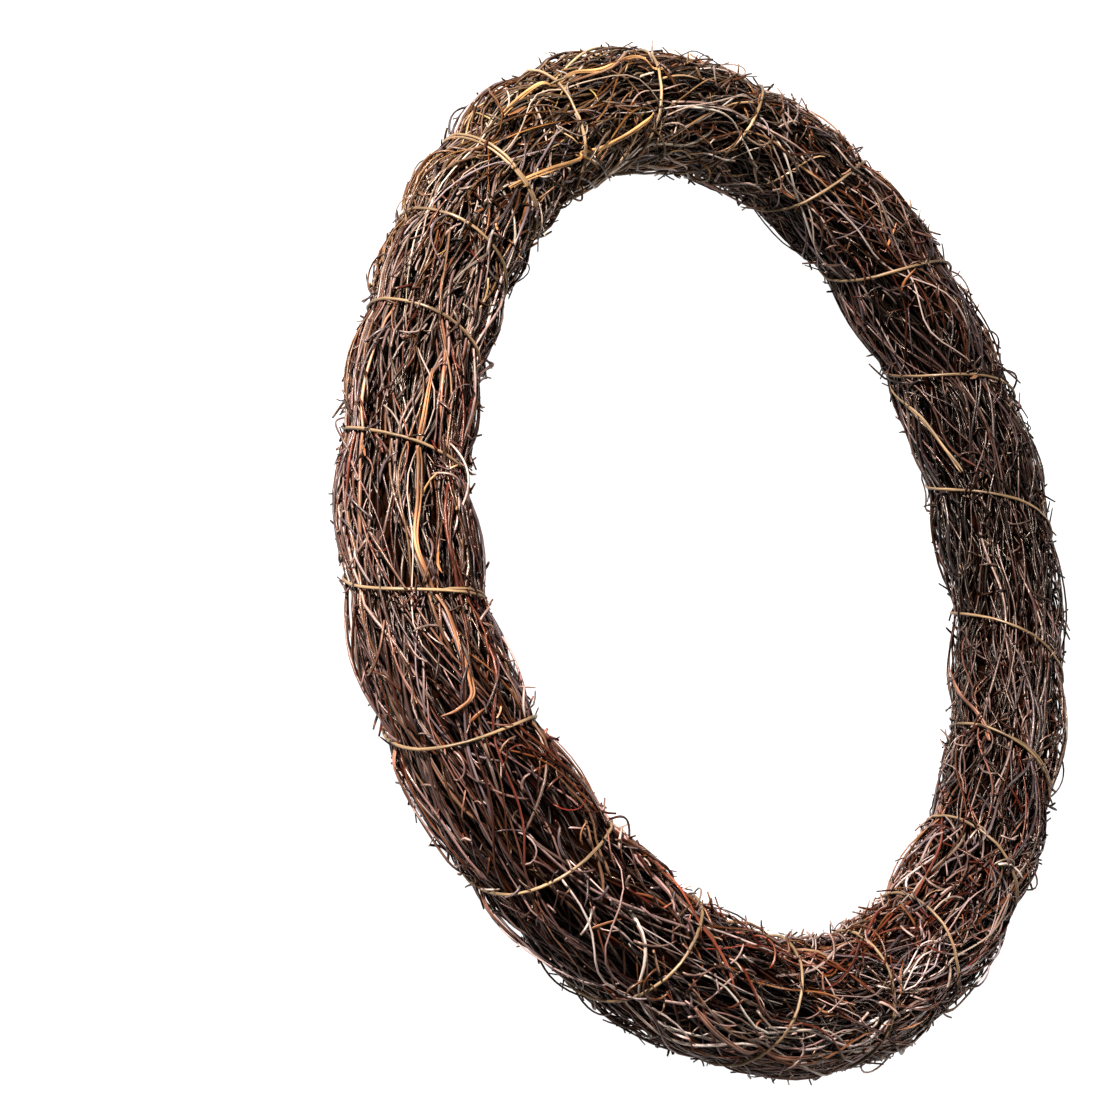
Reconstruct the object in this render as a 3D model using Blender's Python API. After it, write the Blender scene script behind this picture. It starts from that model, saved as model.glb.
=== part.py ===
"""A grapevine wreath: a ring-shaped bundle of thin dark twigs with a vine wound round it.

The wreath lies flat, +Z up, on three pressed spots. The origin is the middle of its underside and the
long way across is X. A place on the bundle is given by u, the angle round the ring from +X, v, the angle
round the bundle from its outer side over its top, and w, the distance from the bundle's centre line.
"""

import bmesh
import bpy
import numpy as np

# Driving dimensions, in metres and degrees
RING_RADIUS = 0.134
BUNDLE_RADIUS = 0.0189
RING_WAVES = ((2, 0.050, 8), (3, 0.010, -149), (4, 0.005, 164), (5, 0.006, 122))
BUNDLE_WAVES = ((1, 0.050, -16), (2, 0.034, 4), (3, 0.033, -3), (4, 0.019, -145))
SOLID_GAP = 0.0003
CENTRE_LIFT = 0.0006
CENTRE_SHIFT = (0.0007, -0.0022)

# The binding vine crosses the top of the bundle at these angles round the ring
BINDING_TOPS = (
    17, 34, 48, 67, 85, 103, 124, 143, 161, 178, 196,
    215, 233, 248, 260, 274, 292, 309, 325, 342, 359,
)
TURNS = len(BINDING_TOPS)
TOP_VIEW = 80
BINDING_RADIUS = 0.0007
BINDING_DEPTH = 0.0006
BINDING_STEPS = 14
BINDING_LENGTHS = 7
BINDING_BREAK = 0.004
BINDING_SLANT = (-0.3, 1.3, 160)

# The bundle's dense middle, with the packed twigs as ridges on it, larger than life
RIDGES = 22
RIDGE_HEIGHT = 0.0026
RIDGE_DEPTH_AT_BINDING = 0.0021
RIDGE_BULGE = 0.0012
BULGE_STEEPNESS = 4.5
RIDGE_UNEVENNESS = 0.0003
RIDGE_SWAY = 9
ROW_SHARES = (0, 0.33, 0.67, 1)
CUT_LEAN = 3.2
CUT_GAP = 0.00058
UNDERSIDE_FROM = 95
UNDERSIDE_DEPTH = 0.0020

# Single twigs that arch over the bundle, curl out of it or end in a tip
TWIGS_A_HANDFUL = 6
TWIG_RADIUS = 0.0008
TWIG_END_TAPER = 0.8
TWIG_ROOT = -0.0048
TIP_REACH = (0.0020, 0.0042)
TIP_SPAN = (-30, 210)
LOWEST_TWIG = 0.0006
ROOT_MARGIN = 1.2
TRIES = 8
SMALLEST_EDGE = 0.00001

# The spots that the wreath rests on, by the number of the handful
REST_HANDFULS = (20, 6, 12)
REST_HALF_ANGLE = 30
REST_ROW_SHARES = (0, 0.18, 0.36, 0.68, 1)
REST_SETBACK = 0.0010

PALE_ROUTES = (
    ((282, 66), (290, 63), (298, 60), (304, 54), (310, 66), (316, 67), (320, 64), (321, 50), (321, 36)),
    ((149, 219), (143, 186), (136, 169), (132, 160)),
    ((242, 41), (235, 43), (230, 50), (225, 62), (218, 56), (213, 66)),
    ((252, 80), (244, 102), (236, 118), (226, 123), (217, 110)),
    ((66, 20), (59, 28), (52, 24), (44, 12)),
    ((188, -40), (180, -48), (171, -44), (163, -30)),
    ((30, 192), (22, 205), (12, 210), (4, 202)),
)
RED_ROUTES = (
    ((102, 216), (96, 192), (91, 165), (86, 149)),
    ((21, 36), (15, 26), (9, 30), (3, 42)),
    ((345, -20), (337, -32), (328, -36), (320, -26)),
    ((205, 178), (199, 192), (190, 200), (184, 190)),
)
ROUTE_STEP = 0.0060
ROUTE_LIFT = 0.00015
ROUTE_LIFT_BELOW = -0.0011
ROUTE_LIFT_AT_BINDING = 0.0010
ROUTE_CLIMB = (0.22, 0.38)

BARK = ("dark bark", (0.075, 0.045, 0.032), 0.75)
VINE_SKIN = ("smooth olive vine", (0.24, 0.16, 0.075), 0.55)
PALE_WOOD = ("peeled tan wood", (0.50, 0.29, 0.12), 0.60)
RED_BARK = ("red brown bark", (0.30, 0.11, 0.06), 0.65)


def clear_scene():
    for thing in list(bpy.data.objects):
        bpy.data.objects.remove(thing)


def material(name, color, roughness):
    made = bpy.data.materials.new(name)
    made.use_nodes = True
    shader = made.node_tree.nodes["Principled BSDF"]
    shader.inputs["Base Color"].default_value = (*color, 1)
    shader.inputs["Roughness"].default_value = roughness
    return made


def waved(u, waves):
    """One plus the sum of the waves at angle u; each wave is its count, its size and its crest."""
    return 1 + sum(size * np.cos(np.radians(count * u - crest)) for count, size, crest in waves)


def bundle_radius(u):
    return BUNDLE_RADIUS * waved(u, BUNDLE_WAVES)


def centre_line(u):
    """The centre of the bundle at u, and the unit vectors along the ring and outward."""
    turn = np.radians(u)
    radius = RING_RADIUS * waved(u, RING_WAVES)
    ahead = RING_RADIUS * waved(u + 0.5, RING_WAVES)
    behind = RING_RADIUS * waved(u - 0.5, RING_WAVES)
    growth = (ahead - behind) / np.radians(1)
    flat = np.zeros_like(turn)
    away = np.stack([np.cos(turn), np.sin(turn), flat], -1)
    onward = np.stack([-np.sin(turn), np.cos(turn), flat], -1)
    along = growth[..., None] * away + radius[..., None] * onward
    along /= np.linalg.norm(along, axis=-1, keepdims=True)
    outward = np.cross(along, (0, 0, 1))
    centre = radius[..., None] * away
    centre[..., :2] += CENTRE_SHIFT
    centre[..., 2] = bundle_radius(u) + CENTRE_LIFT
    return centre, along, outward


def place(u, v, w):
    """Points at angle u round the ring, at angle v round the bundle and w out from its centre line."""
    u, v, w = np.broadcast_arrays(*(np.asarray(value, float) for value in (u, v, w)))
    centre, along, outward = centre_line(u)
    around = np.radians(v)[..., None]
    return centre + w[..., None] * (np.cos(around) * outward + np.sin(around) * np.array((0, 0, 1)))


def angle_of_turn(turn):
    """The angle u where the binding vine is after this many turns, counted on top of the bundle."""
    whole = np.floor(np.asarray(turn, float) / TURNS)
    tops = BINDING_TOPS + (BINDING_TOPS[0] + 360,)
    return np.interp(turn - whole * TURNS, np.arange(TURNS + 1), tops) + 360 * whole


def turn_of_angle(u):
    """The count of turns that the binding vine has made on top of the bundle at angle u."""
    whole = np.floor((np.asarray(u, float) - BINDING_TOPS[0]) / 360)
    tops = BINDING_TOPS + (BINDING_TOPS[0] + 360,)
    return np.interp(u - 360 * whole, tops, np.arange(TURNS + 1)) + TURNS * whole


def slant(u, v):
    """How far the binding vine's slope on top, in degrees, differs round the ring from an even winding."""
    mean, size, crest = BINDING_SLANT
    return (mean + size * np.cos(np.radians(u - crest))) * np.sin(np.radians(v - TOP_VIEW))


def angle_between(turn, v):
    """The angle u at v of a place this many turns along; whole numbers are on the binding vine."""
    u = angle_of_turn(turn + (v - TOP_VIEW) / 360)
    return u + slant(u, v)


def turns_along(u, v):
    """How many turns along the place u, v is; at whole numbers it is on the binding vine."""
    return turn_of_angle(u - slant(u, v)) - (v - TOP_VIEW) / 360


def cut_angle(number, v):
    """The angle u of the slanted cut that starts a handful, which follows the binding vine on top."""
    top = angle_of_turn(number)
    return top + CUT_LEAN * np.sin(np.radians(v - TOP_VIEW)) + slant(top, v)


def is_underside(v):
    """True where the binding vine leaves the cut between two handfuls and the bundle stays low for it."""
    return np.abs((v - TOP_VIEW + 180) % 360 - 180) > UNDERSIDE_FROM


def closed_mesh(name, rings, hubbed=False):
    """A tube of triangles through rings of points, closed by fans that share a corner or a middle point."""
    count, sides = rings.shape[:2]
    corner = np.arange(count * sides).reshape(count, sides)
    here, there = corner[:-1], corner[1:]
    left, right = np.roll(here, -1, 1), np.roll(there, -1, 1)
    walls = np.concatenate([np.stack([here, left, there], -1), np.stack([left, right, there], -1)])
    points = rings.reshape(-1, 3).tolist()
    faces = walls.reshape(-1, 3).tolist()
    for ring, order in ((corner[0], -1), (corner[-1], 1)):
        ring = ring[::order].tolist()
        if hubbed:
            hub = len(points)
            points.append(rings.reshape(-1, 3)[ring].mean(0).tolist())
            faces += [(hub, ring[i - 1], ring[i]) for i in range(sides)]
        else:
            faces += [(ring[0], ring[i], ring[i + 1]) for i in range(1, sides - 1)]
    mesh = bpy.data.meshes.new(name)
    mesh.from_pydata(points, [], faces)
    return mesh


def add_object(name, mesh, collection):
    made = bpy.data.objects.new(name, mesh)
    collection.objects.link(made)
    return made


def twig_rings(u, v, w, radius):
    """Three-sided sections along a twig, with an edge away from the bundle."""
    path = place(u, v, w)
    path[:, 2] = np.maximum(path[:, 2], LOWEST_TWIG + radius)
    centre, along, outward = centre_line(np.asarray(u, float))
    course = np.gradient(path, axis=0)
    course /= np.linalg.norm(course, axis=1, keepdims=True)
    out = path - centre
    out -= (out * course).sum(1, keepdims=True) * course
    out /= np.linalg.norm(out, axis=1, keepdims=True)
    side = np.cross(course, out)
    angles = np.radians(np.arange(3) * 120)
    reach = np.cos(angles)[None, :, None] * out[:, None] + np.sin(angles)[None, :, None] * side[:, None]
    thick = np.full(len(path), radius)
    thick[[0, -1]] *= TWIG_END_TAPER
    return path[:, None] + thick[:, None, None] * reach


def core_rings(number):
    """Sections of a handful's dense middle: high and low corners in turn, swaying along the ring."""
    rests = number in REST_HANDFULS
    shares = np.array(REST_ROW_SHARES if rests else ROW_SHARES)[:, None]
    corners = np.arange(2 * RIDGES)[None, :]
    v = corners * 180 / RIDGES - 90
    start, end = cut_angle(number, v), cut_angle(number + 1, v)
    gap = np.degrees(CUT_GAP / RING_RADIUS)
    u = start + gap / 2 + shares * (end - start - gap)
    v = v + RIDGE_SWAY * (np.sin(np.radians(5 * u + v)) + 0.5 * np.sin(np.radians(8 * u - v)))
    bulge = np.minimum(1, BULGE_STEEPNESS * shares * (1 - shares))
    uneven = RIDGE_UNEVENNESS * np.sin(np.radians(97 * corners + 23 * u))
    high = bundle_radius(u) - RIDGE_DEPTH_AT_BINDING + bulge * (RIDGE_BULGE + uneven)
    high = np.where(is_underside(v), np.minimum(high, bundle_radius(u) - UNDERSIDE_DEPTH), high)
    points = place(u, v, high - RIDGE_HEIGHT * (corners % 2))
    if rests:
        setback = np.degrees(REST_SETBACK / RING_RADIUS)
        below = np.abs((v + 90 + 180) % 360 - 180) < REST_HALF_ANGLE
        pressed = below & (shares <= REST_ROW_SHARES[1])
        points = np.where((pressed & (shares == 0))[..., None], place(u + setback, v, high), points)
        points[..., 2] = np.where(pressed, 0, points[..., 2])
    return points[:, ::-1]


def twig_stations(rng, number, share):
    """A twig that starts in the bundle: an arch, a curl that comes back, or a tip over the binding vine.

    The share says how far round the bundle it starts. Its lift is counted from the bundle's radius.
    """
    v = 360 * share - 90
    reach = rng.uniform(*TIP_REACH)
    drift = rng.choice((-1, 1)) * rng.uniform(3, 22)
    kind = rng.random()
    in_tip_span = TIP_SPAN[0] < v < TIP_SPAN[1]
    if kind < 0.35 and in_tip_span:
        turn = np.array((0.55, 0.78, 1.0, 1.24))
        lift = np.array((TWIG_ROOT, 0.0002, 0.0013, reach))
        sideways = drift * np.array((0, 0.3, 0.6, 1))
    elif kind < 0.65 and in_tip_span:
        turn = np.array((0.20, 0.33, 0.52, 0.66, 0.70))
        lift = np.array((TWIG_ROOT, 0.0006, reach * 0.9, 0.0006, TWIG_ROOT))
        sideways = drift * np.array((0, 0.2, 0.8, 1.4, 1.6))
    else:
        begin = rng.uniform(0.10, 0.45)
        turn = begin + rng.uniform(0.40, 0.90 - begin) * np.array((0, 0.28, 0.72, 1))
        lift = np.array((TWIG_ROOT, 0.0001, 0.0004, TWIG_ROOT))
        sideways = drift * np.array((0, 0.3, 0.7, 1))
    if rng.random() < 0.5:
        turn = 1 - turn
    v = v + sideways
    u = angle_between(number + turn, v)
    return u, v, bundle_radius(u) + lift


def dense_points(path):
    """Points close together along a path."""
    shares = np.linspace(0, 1, 9)[:, None, None]
    return (path[:-1] + shares * (path[1:] - path[:-1])).reshape(-1, 3)


def far_enough(path, others, distance):
    here = dense_points(path)
    return all(np.linalg.norm(here[:, None] - there[None], axis=-1).min() > distance for there in others)


def owner_of(u, v):
    """The handful that holds the place u, v, and how deep inside its two cuts the place is."""
    number = int(np.floor(turn_of_angle(u)))
    for trial in (number - 1, number, number + 1):
        inside = min(u - cut_angle(trial, v), cut_angle(trial + 1, v) - u)
        if inside > 0:
            return trial % TURNS, inside
    return number % TURNS, 0


def scatter_twigs(routes):
    """The single twigs of each handful, clear of the other handfuls' twigs and of the separate ones."""
    rng = np.random.default_rng(7)
    routes = [dense_points(place(*route)) for route in routes]
    twigs = {number: {} for number in range(TURNS)}
    placed = []
    for attempt in range(TURNS * TWIGS_A_HANDFUL * TRIES):
        number = attempt % TURNS
        slot = attempt // TURNS % TWIGS_A_HANDFUL
        u, v, w = twig_stations(rng, number, (slot + rng.random()) / TWIGS_A_HANDFUL)
        owner, depth = owner_of(u[0], v[0])
        end_owner, end_depth = owner_of(u[-1], v[-1])
        comes_back = w[-1] < bundle_radius(u[-1])
        if slot in twigs[owner] or depth < ROOT_MARGIN:
            continue
        if comes_back and (end_owner != owner or end_depth < ROOT_MARGIN):
            continue
        path = dense_points(place(u, v, w))
        others = [points for holder, points in placed if holder != owner]
        if far_enough(path, routes + others, 2 * TWIG_RADIUS + 2 * SOLID_GAP):
            twigs[owner][slot] = (u, v, w)
            placed.append((owner, path))
    return twigs


def route_stations(route):
    """Even steps along a route through its chosen places, lying low and climbing over the binding vine."""
    u, v = (np.array(values, float) for values in zip(*route))
    path = place(u, v, bundle_radius(u))
    length = np.concatenate([[0], np.cumsum(np.linalg.norm(np.diff(path, axis=0), axis=1))])
    steps = np.linspace(0, length[-1], int(length[-1] / ROUTE_STEP) + 2)
    u, v = np.interp(steps, length, u), np.interp(steps, length, v)
    turn = turns_along(u, v)
    from_binding = np.abs(turn - np.round(turn))
    near, far = ROUTE_CLIMB
    climb = np.clip((far - from_binding) / (far - near), 0, 1)
    low = np.where(is_underside(v), ROUTE_LIFT_BELOW, ROUTE_LIFT)
    return u, v, bundle_radius(u) + low + climb * (ROUTE_LIFT_AT_BINDING - low)


def keep_outer_shell(mesh):
    """Fills sealed hollows and drops scraps: only the largest of the mesh's loose shells stays."""
    shape = bmesh.new()
    shape.from_mesh(mesh)
    bmesh.ops.dissolve_degenerate(shape, dist=SMALLEST_EDGE, edges=shape.edges)
    bmesh.ops.triangulate(shape, faces=shape.faces)
    waiting = set(shape.verts)
    shells = []
    while waiting:
        edge = {waiting.pop()}
        shell = set(edge)
        while edge:
            edge = {link.other_vert(corner) for corner in edge for link in corner.link_edges} - shell
            shell |= edge
        waiting -= shell
        shells.append(shell)
    largest = max(shells, key=len)
    for shell in shells:
        if shell is not largest:
            bmesh.ops.delete(shape, geom=list(shell), context="VERTS")
    shape.to_mesh(mesh)
    shape.free()


def join(target, collection):
    """One Boolean union of the target with the collection's objects, applied; they are then removed."""
    union = target.modifiers.new("join", "BOOLEAN")
    union.operation = "UNION"
    union.operand_type = "COLLECTION"
    union.collection = collection
    union.solver = "MANIFOLD"
    target.data = bpy.data.meshes.new_from_object(target.evaluated_get(bpy.context.evaluated_depsgraph_get()))
    target.modifiers.clear()
    for thing in list(collection.objects):
        bpy.data.objects.remove(thing)


def build_handful(number, twigs, scrap):
    name = f"vine_handful_{number + 1:02d}"
    body = add_object(name, closed_mesh(name, core_rings(number), True), bpy.context.scene.collection)
    for stations in twigs:
        add_object("twig", closed_mesh("twig", twig_rings(*stations, TWIG_RADIUS)), scrap)
    join(body, scrap)
    keep_outer_shell(body.data)
    body.data.materials.clear()
    return body


def build_binding(number):
    """One length of the binding vine: three turns, from underside to underside."""
    turns = TURNS // BINDING_LENGTHS
    steps = np.arange(turns * BINDING_STEPS + 1) / BINDING_STEPS
    steps[0] += BINDING_BREAK
    steps[-1] -= BINDING_BREAK
    wound = number * turns - 0.5 + steps
    v = TOP_VIEW + 360 * wound
    u = angle_between(0, v)
    w = bundle_radius(u) - BINDING_DEPTH
    name = f"binding_vine_{number + 1}"
    mesh = closed_mesh(name, twig_rings(u, v, w, BINDING_RADIUS))
    return add_object(name, mesh, bpy.context.scene.collection)


def build_route(name, stations):
    mesh = closed_mesh(name, twig_rings(*stations, TWIG_RADIUS))
    return add_object(name, mesh, bpy.context.scene.collection)


def main():
    clear_scene()
    bark, skin, pale, red = (material(*look) for look in (BARK, VINE_SKIN, PALE_WOOD, RED_BARK))
    scrap = bpy.data.collections.new("scrap")
    bpy.context.scene.collection.children.link(scrap)
    pale_routes = [route_stations(route) for route in PALE_ROUTES]
    red_routes = [route_stations(route) for route in RED_ROUTES]
    twigs = scatter_twigs(pale_routes + red_routes)
    for number in range(TURNS):
        build_handful(number, twigs[number].values(), scrap).data.materials.append(bark)
    for number in range(BINDING_LENGTHS):
        build_binding(number).data.materials.append(skin)
    for number, stations in enumerate(pale_routes):
        build_route(f"pale_vine_{number + 1}", stations).data.materials.append(pale)
    for number, stations in enumerate(red_routes):
        build_route(f"red_vine_{number + 1}", stations).data.materials.append(red)


main()
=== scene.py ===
"""The looks of a grapevine wreath: hundreds of thin dark twigs in a ring-shaped bundle, bound with a vine.

The wreath lies flat. A place on it is given by u, the angle round the ring from +X in degrees, v, the angle
round the bundle from its outer side over its top, and w, the distance from the bundle's centre line.
Lift is w counted from the bundle's own radius, so a negative lift is inside the bundle.
"""

import bpy
import numpy as np
from mathutils import Matrix, Vector

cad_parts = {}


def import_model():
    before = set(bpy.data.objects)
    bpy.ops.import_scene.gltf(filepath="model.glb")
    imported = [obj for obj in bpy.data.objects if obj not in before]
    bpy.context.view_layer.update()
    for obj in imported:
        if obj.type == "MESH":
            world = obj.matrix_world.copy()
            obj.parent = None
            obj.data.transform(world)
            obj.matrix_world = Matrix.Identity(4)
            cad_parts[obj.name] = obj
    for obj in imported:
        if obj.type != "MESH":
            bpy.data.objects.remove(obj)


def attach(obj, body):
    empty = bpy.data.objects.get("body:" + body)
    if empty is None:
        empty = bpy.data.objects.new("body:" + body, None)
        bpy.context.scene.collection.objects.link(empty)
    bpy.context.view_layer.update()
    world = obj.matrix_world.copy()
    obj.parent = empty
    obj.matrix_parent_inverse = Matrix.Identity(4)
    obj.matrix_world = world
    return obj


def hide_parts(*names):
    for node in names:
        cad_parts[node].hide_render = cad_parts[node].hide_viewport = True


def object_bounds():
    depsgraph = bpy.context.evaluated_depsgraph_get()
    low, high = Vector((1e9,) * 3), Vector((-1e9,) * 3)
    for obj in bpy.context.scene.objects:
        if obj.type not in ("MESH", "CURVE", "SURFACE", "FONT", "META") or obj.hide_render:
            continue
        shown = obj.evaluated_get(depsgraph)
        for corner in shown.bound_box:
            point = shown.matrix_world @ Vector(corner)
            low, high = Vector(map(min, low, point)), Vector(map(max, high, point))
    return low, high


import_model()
cad_box = [list(corner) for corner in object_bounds()]

# The bundle's shape, as in the part: metres and degrees, and waves by their count, size and crest
RING_RADIUS = 0.134
BUNDLE_RADIUS = 0.0189
RING_WAVES = ((2, 0.050, 8), (3, 0.010, -149), (4, 0.005, 164), (5, 0.006, 122))
BUNDLE_WAVES = ((1, 0.050, -16), (2, 0.034, 4), (3, 0.033, -3), (4, 0.019, -145))
CENTRE_LIFT = 0.0006
CENTRE_SHIFT = (0.0007, -0.0022)

# The binding vine: the angles round the ring where it crosses the top of the bundle, and its run
BINDING_TOPS = (
    17, 34, 48, 67, 85, 103, 124, 143, 161, 178, 196,
    215, 233, 248, 260, 274, 292, 309, 325, 342, 359,
)
TURNS = len(BINDING_TOPS)
TOP_VIEW = 80
BINDING_SLANT = (-0.3, 1.3, 160)
BINDING_RADIUS = 0.00047
BINDING_LIFT = -0.0006
BINDING_LENGTHS = 7
BINDING_STEPS = 44
STRAND_FADE = 0.28
STRAND_PATCH = 0.0045

# Turns with a second strand: the turn, where it starts and ends round the bundle, and how far beside
DOUBLED_TURNS = ((13, -60, 190, 0.036), (17, 70, 200, -0.040), (4, 20, 130, 0.034))
DOUBLED_STEPS = 30

# How the twigs lie: waists under the binding vine, slack between its turns, ends tucked in
WAIST_REACH = 0.13
WAIST_DEPTH = 0.0011
UNDER_BINDING = -0.0012
BINDING_DENT = 0.0005
OPEN_LIFT = 0.008
END_TUCK = 0.0035
END_REACH = 0.009
SIDE_ROOM = 0.0002
SOFT_EDGE = 0.0006
SLOW_SWAY = 0.110
QUICK_SWAY = 0.042
MOST_SWAY = 1.7
UP_AND_DOWN = 0.026
GROUP = 4

# Two layers of packed twigs: how many a seventh of the wreath has, and how deep they lie
INNER_LAYER = dict(count=200, steps=14, sides=4, depths=(0.0024, 0.0058), group=1)
OUTER_LAYER = dict(count=250, steps=21, sides=5, depths=(0.0003, 0.0026), group=GROUP)

# The range of lengths, radii and rises of each kind of twig, in metres
PACKED_LENGTHS = (0.040, 0.105)
PACKED_RADII = (0.00024, 0.00053)
LOOSE_LENGTHS = (0.050, 0.110)
LOOSE_RADII = (0.00026, 0.00056)
LOOSE_RISES = (0.0003, 0.0024)
CURLY_LENGTHS = (0.018, 0.070)
CURLY_RADII = (0.00025, 0.00052)
CURLY_LIFTS = (-0.0010, 0.0004)
CURLY_RISES = (0, 0.0018)
TIP_LENGTHS = (0.0025, 0.010)
TIP_RADII = (0.00028, 0.00052)
TIP_ROOT = 0.0018
TIP_REACH = 0.0026
LONG_TIP = 0.007
LOOP_LENGTHS = (0.008, 0.024)
LOOP_RADII = (0.00022, 0.00038)
LOOP_ROOT = 0.0016
LOOP_RISES = (0.0016, 0.0048)
SPUR_LENGTHS = (0.0018, 0.0048)
SPUR_RADII = (0.00026, 0.00044)
FLAKE_LENGTHS = (0.004, 0.010)
FLAKE_RADII = (0.0003, 0.0007)
FLAKE_RISES = (0.0004, 0.0018)
FLAKE_FLATNESS = 0.22
CORE_DEPTH = 0.0058
CORE_OVERLAP = 0.02
CORE_LENGTH = 0.12

# Seeds of the random numbers, and what each kind of twig adds for its grain
TWIG_SEED = 11
BINDING_SEED = 31
PALE_SEED = 70
RED_SEED = 90
SECOND_STRAND = 50
LOOSE, CURLY, TIP, SPUR, FLAKE, CORE, LOOP = 100, 200, 300, 400, 500, 600, 700

# How tangled the twigs are, and how warm, light and yellow their bark is, at angles round the ring; the
# lightness is partly the bark's own tone and partly painted light and shade for how the light falls round the
# ring
REGION_ANGLES = (0, 20, 58, 80, 105, 125, 160, 175, 215, 250, 262, 285, 340, 360)
TANGLE = (0.62, 0.62, 0.60, 0.50, 0.40, 0.28, 0.32, 0.55, 0.72, 0.60, 0.32, 0.20, 0.42, 0.62)
WARMTH = (0.00, 0.00, 0.00, 0.00, 0.00, 0.00, 0.00, 0.25, 0.95, 1.00, 0.85, 0.60, 0.20, 0.00)
TONE_AND_PAINTED_LIGHT = (1.75, 1.85, 1.65, 0.62, 0.30, 0.14, 0.40, 1.25, 1.60, 1.25, 0.84, 0.72, 1.05, 1.75)
YELLOWNESS = (
    -0.05, -0.04, -0.05, -0.06, -0.08, -0.09, -0.06, -0.01, 0.06, 0.06, -0.01, -0.07, -0.07, -0.05,
)
# The binding vine's lightness round the ring: partly its own tone, partly painted light and shade
VINE_TONE_AND_PAINTED_LIGHT = (0.80, 0.85, 0.80, 0.75, 0.70, 0.75, 0.75, 0.80, 1.00, 1.10, 1.15, 1.20, 1.00, 0.80)

# How much the bark differs from twig to twig and along a twig
HUE_SPREAD = 0.08
HUE_LIMITS = (-0.04, 0.11)
LIGHTNESS_SPREAD = 0.55
LIGHTEST = 0.75
BARK_FADE = 0.35
BARK_FADE_WAVES = 1.5
DRAWN_IN = 2

# Bark colours with their share among cool and among warm twigs
BARKS = (
    ((0.032, 0.007, 0.002), 0.15, 0.14),
    ((0.048, 0.014, 0.005), 0.21, 0.18),
    ((0.060, 0.040, 0.039), 0.16, 0.07),
    ((0.079, 0.035, 0.019), 0.12, 0.19),
    ((0.122, 0.065, 0.048), 0.20, 0.17),
    ((0.222, 0.132, 0.100), 0.14, 0.14),
    ((0.295, 0.196, 0.153), 0.03, 0.03),
    ((0.107, 0.042, 0.019), 0.00, 0.08),
    ((0.260, 0.121, 0.053), 0.00, 0.05),
    ((0.380, 0.190, 0.062), 0.00, 0.01),
)
VINE_SKIN = (0.121, 0.076, 0.041)
# How fast the packed twigs' bark darkens with depth under the surface, per metre: painted shade where outer
# twigs cover them
INNER_PAINTED_SHADE = 820
CURLY_DARKNESS = 0.2
TIP_DARKNESS = 0.45
# The near black of the bundle's inside: painted shade for the dark gaps between the twigs
CORE_PAINTED_SHADE = (0.004, 0.0014, 0.0007)
FLAKE_COLOR = (0.150, 0.058, 0.022)
CUT_WOOD = (0.24, 0.15, 0.09)

# The single pale and red vines, each through places u, v on the bundle, as in the part
PALE_ROUTES = (
    ((282, 66), (290, 63), (298, 60), (304, 54), (310, 66), (316, 67), (320, 64), (321, 50), (321, 36)),
    ((149, 219), (143, 186), (136, 169), (132, 160)),
    ((242, 41), (235, 43), (230, 50), (225, 62), (218, 56), (213, 66)),
    ((252, 80), (244, 102), (236, 118), (226, 123), (217, 110)),
    ((66, 20), (59, 28), (52, 24), (44, 12)),
    ((188, -40), (180, -48), (171, -44), (163, -30)),
    ((30, 192), (22, 205), (12, 210), (4, 202)),
)
RED_ROUTES = (
    ((102, 216), (96, 192), (91, 165), (86, 149)),
    ((21, 36), (15, 26), (9, 30), (3, 42)),
    ((345, -20), (337, -32), (328, -36), (320, -26)),
    ((205, 178), (199, 192), (190, 200), (184, 190)),
)
TAN_WOOD = (0.146, 0.060, 0.026)
GOLDEN_WOOD = (0.238, 0.120, 0.046)
DULL_WOOD = (0.098, 0.048, 0.023)
PALE_COLORS = (TAN_WOOD, VINE_SKIN, GOLDEN_WOOD, GOLDEN_WOOD, DULL_WOOD, DULL_WOOD, DULL_WOOD)
RED_BARK = (0.105, 0.046, 0.029)
ROUTE_STEP = 0.0016
ROUTE_RADIUS = 0.00046
ROUTE_LIFT = 0.0013
ROUTE_DIP = 0.0019
ROUTE_WAIST = 0.10
ROUTE_STREAK = 0.35

# Each vine's strands: how far beside its route, in radii, and how thick
STRANDS = ((-0.4, 1.0), (1.0, 0.65))

# Finishes: the grain's run in a metre of twig, and the gloss that all barks share
GRAIN_RATE = 90
BARK_GLOSS = 0.35
GLOSS_TINT = (1.0, 0.82, 0.68, 1)
ROUGHNESS_SPREAD = 0.12
RELIEF_HEIGHT = 0.0003

# The camera, aimed so that the ring stands right of the middle as in the photograph, and turned on its side
CAMERA_AZIMUTH = 45
CAMERA_ELEVATION = 39.95
CAMERA_ROLL = -69.35
CAMERA_DISTANCE = 1.072
CAMERA_LENS = 115.3
AIM = (-0.0511, -0.0043)
LOOK_AT_HEIGHT = 0.019


def waved(u, waves):
    """One plus the sum of the waves at angle u; each wave is its count, its size and its crest."""
    return 1 + sum(size * np.cos(np.radians(count * u - crest)) for count, size, crest in waves)


def bundle_radius(u):
    return BUNDLE_RADIUS * waved(u, BUNDLE_WAVES)


def ring_radius(u):
    return RING_RADIUS * waved(u, RING_WAVES)


def centre_line(u):
    """The centre of the bundle at u and the unit vector outward, square to the waved ring's own course."""
    turn = np.radians(u)
    growth = (ring_radius(u + 0.5) - ring_radius(u - 0.5)) / np.radians(1)
    flat = np.zeros_like(turn)
    away = np.stack([np.cos(turn), np.sin(turn), flat], -1)
    onward = np.stack([-np.sin(turn), np.cos(turn), flat], -1)
    along = growth[..., None] * away + ring_radius(u)[..., None] * onward
    along /= np.linalg.norm(along, axis=-1, keepdims=True)
    centre = ring_radius(u)[..., None] * away
    centre[..., :2] += CENTRE_SHIFT
    centre[..., 2] = bundle_radius(u) + CENTRE_LIFT
    return centre, np.cross(along, (0, 0, 1))


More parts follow.
